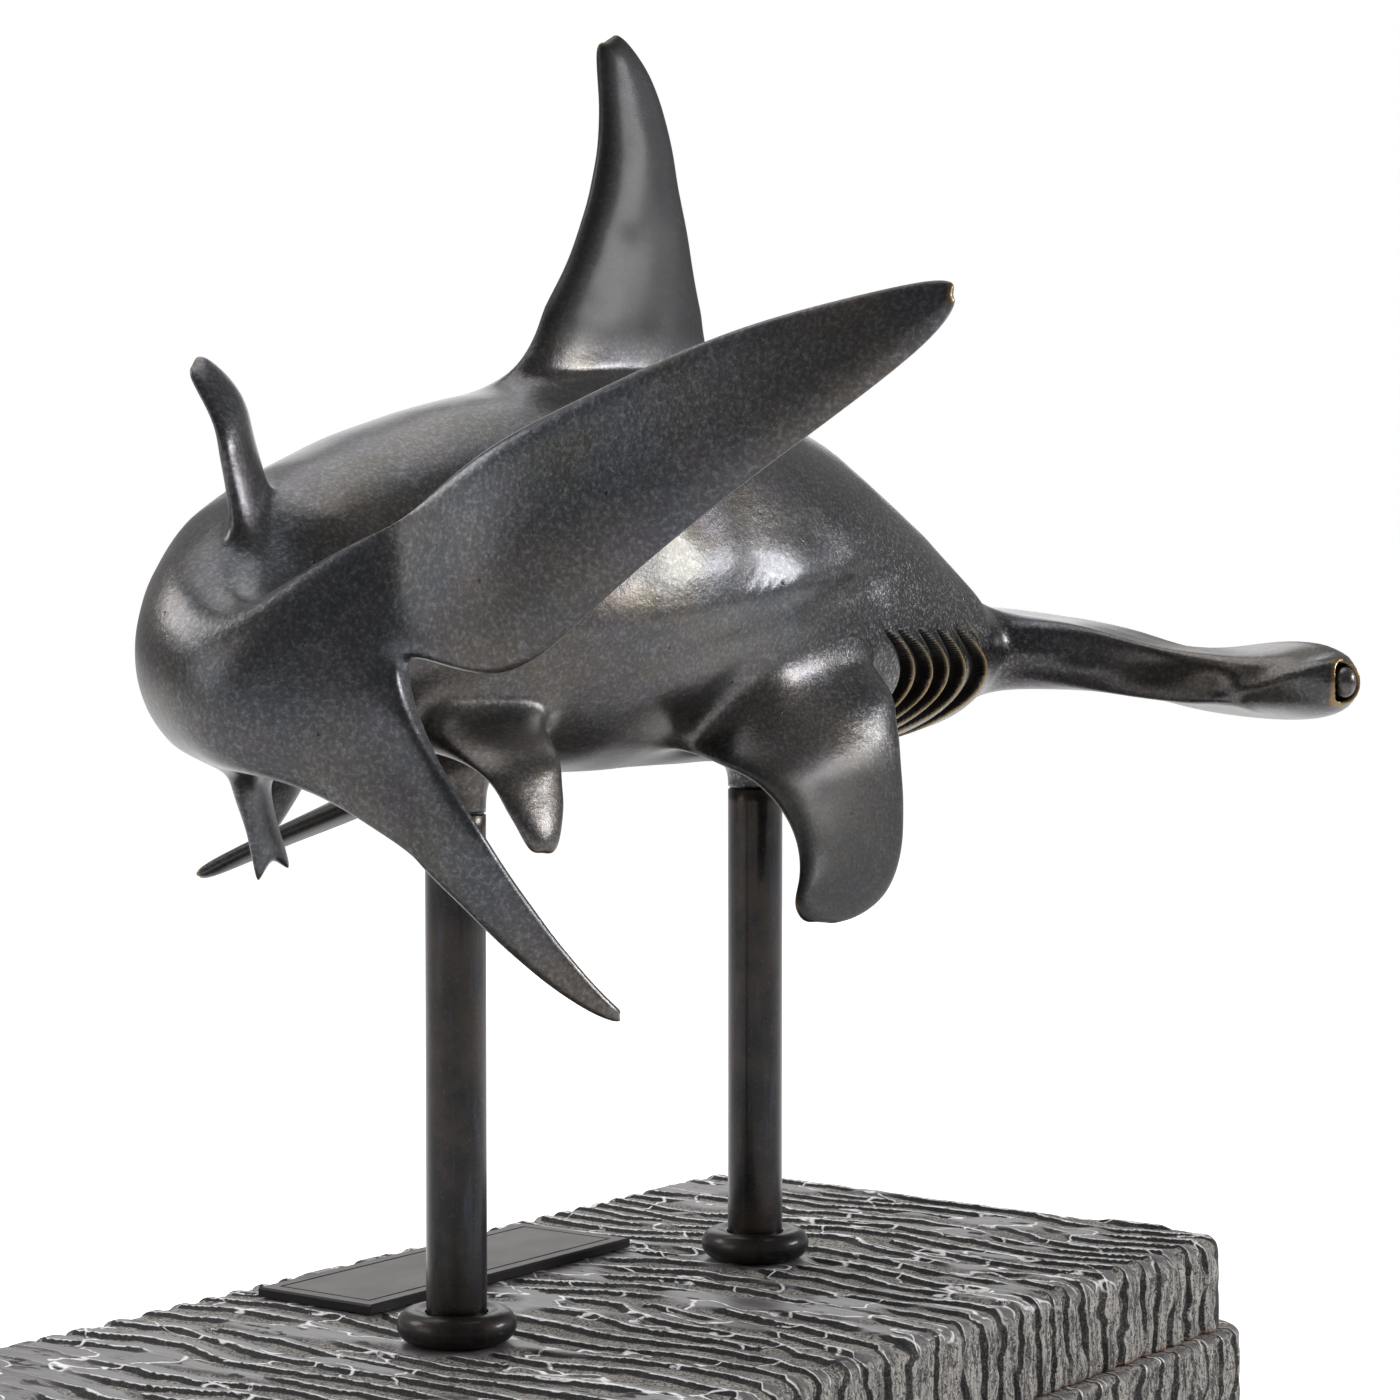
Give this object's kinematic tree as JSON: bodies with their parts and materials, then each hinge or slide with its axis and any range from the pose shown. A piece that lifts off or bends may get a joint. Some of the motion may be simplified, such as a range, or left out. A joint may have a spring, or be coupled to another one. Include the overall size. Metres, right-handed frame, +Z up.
{
  "type": "shark figurine",
  "caption": "Bronze hammerhead shark figurine carried on two round posts with ring collars, over a carved two-tier stone base with a bare plate.",
  "frame": {"origin": "centre of the base, on the surface that it stands on", "axes": "+Z up, +X along the base from the tail to the head, +Y towards the shark's left"},
  "size_m": [0.3301, 0.2361, 0.3033],
  "materials": {
    "dark_bronze": "dark patina, semi-gloss",
    "dark_rod": "dark patina, satin",
    "plate_bronze": "matt brown patina",
    "carved_stone": null,
    "zinc_steel": "zinc plated",
    "black_felt": "felt"
  },
  "bodies": {
    "root": {"shark_casting": "dark_bronze", "rear_post": "dark_rod", "front_post": "dark_rod", "rear_collar": "dark_rod", "front_collar": "dark_rod", "nameplate": "plate_bronze", "upper_slab": "carved_stone", "lower_slab": "carved_stone", "rear_washer": "zinc_steel", "front_washer": "zinc_steel", "rear_nut": "zinc_steel", "front_nut": "zinc_steel", "felt_sheet": "black_felt"}
  },
  "joints": []
}
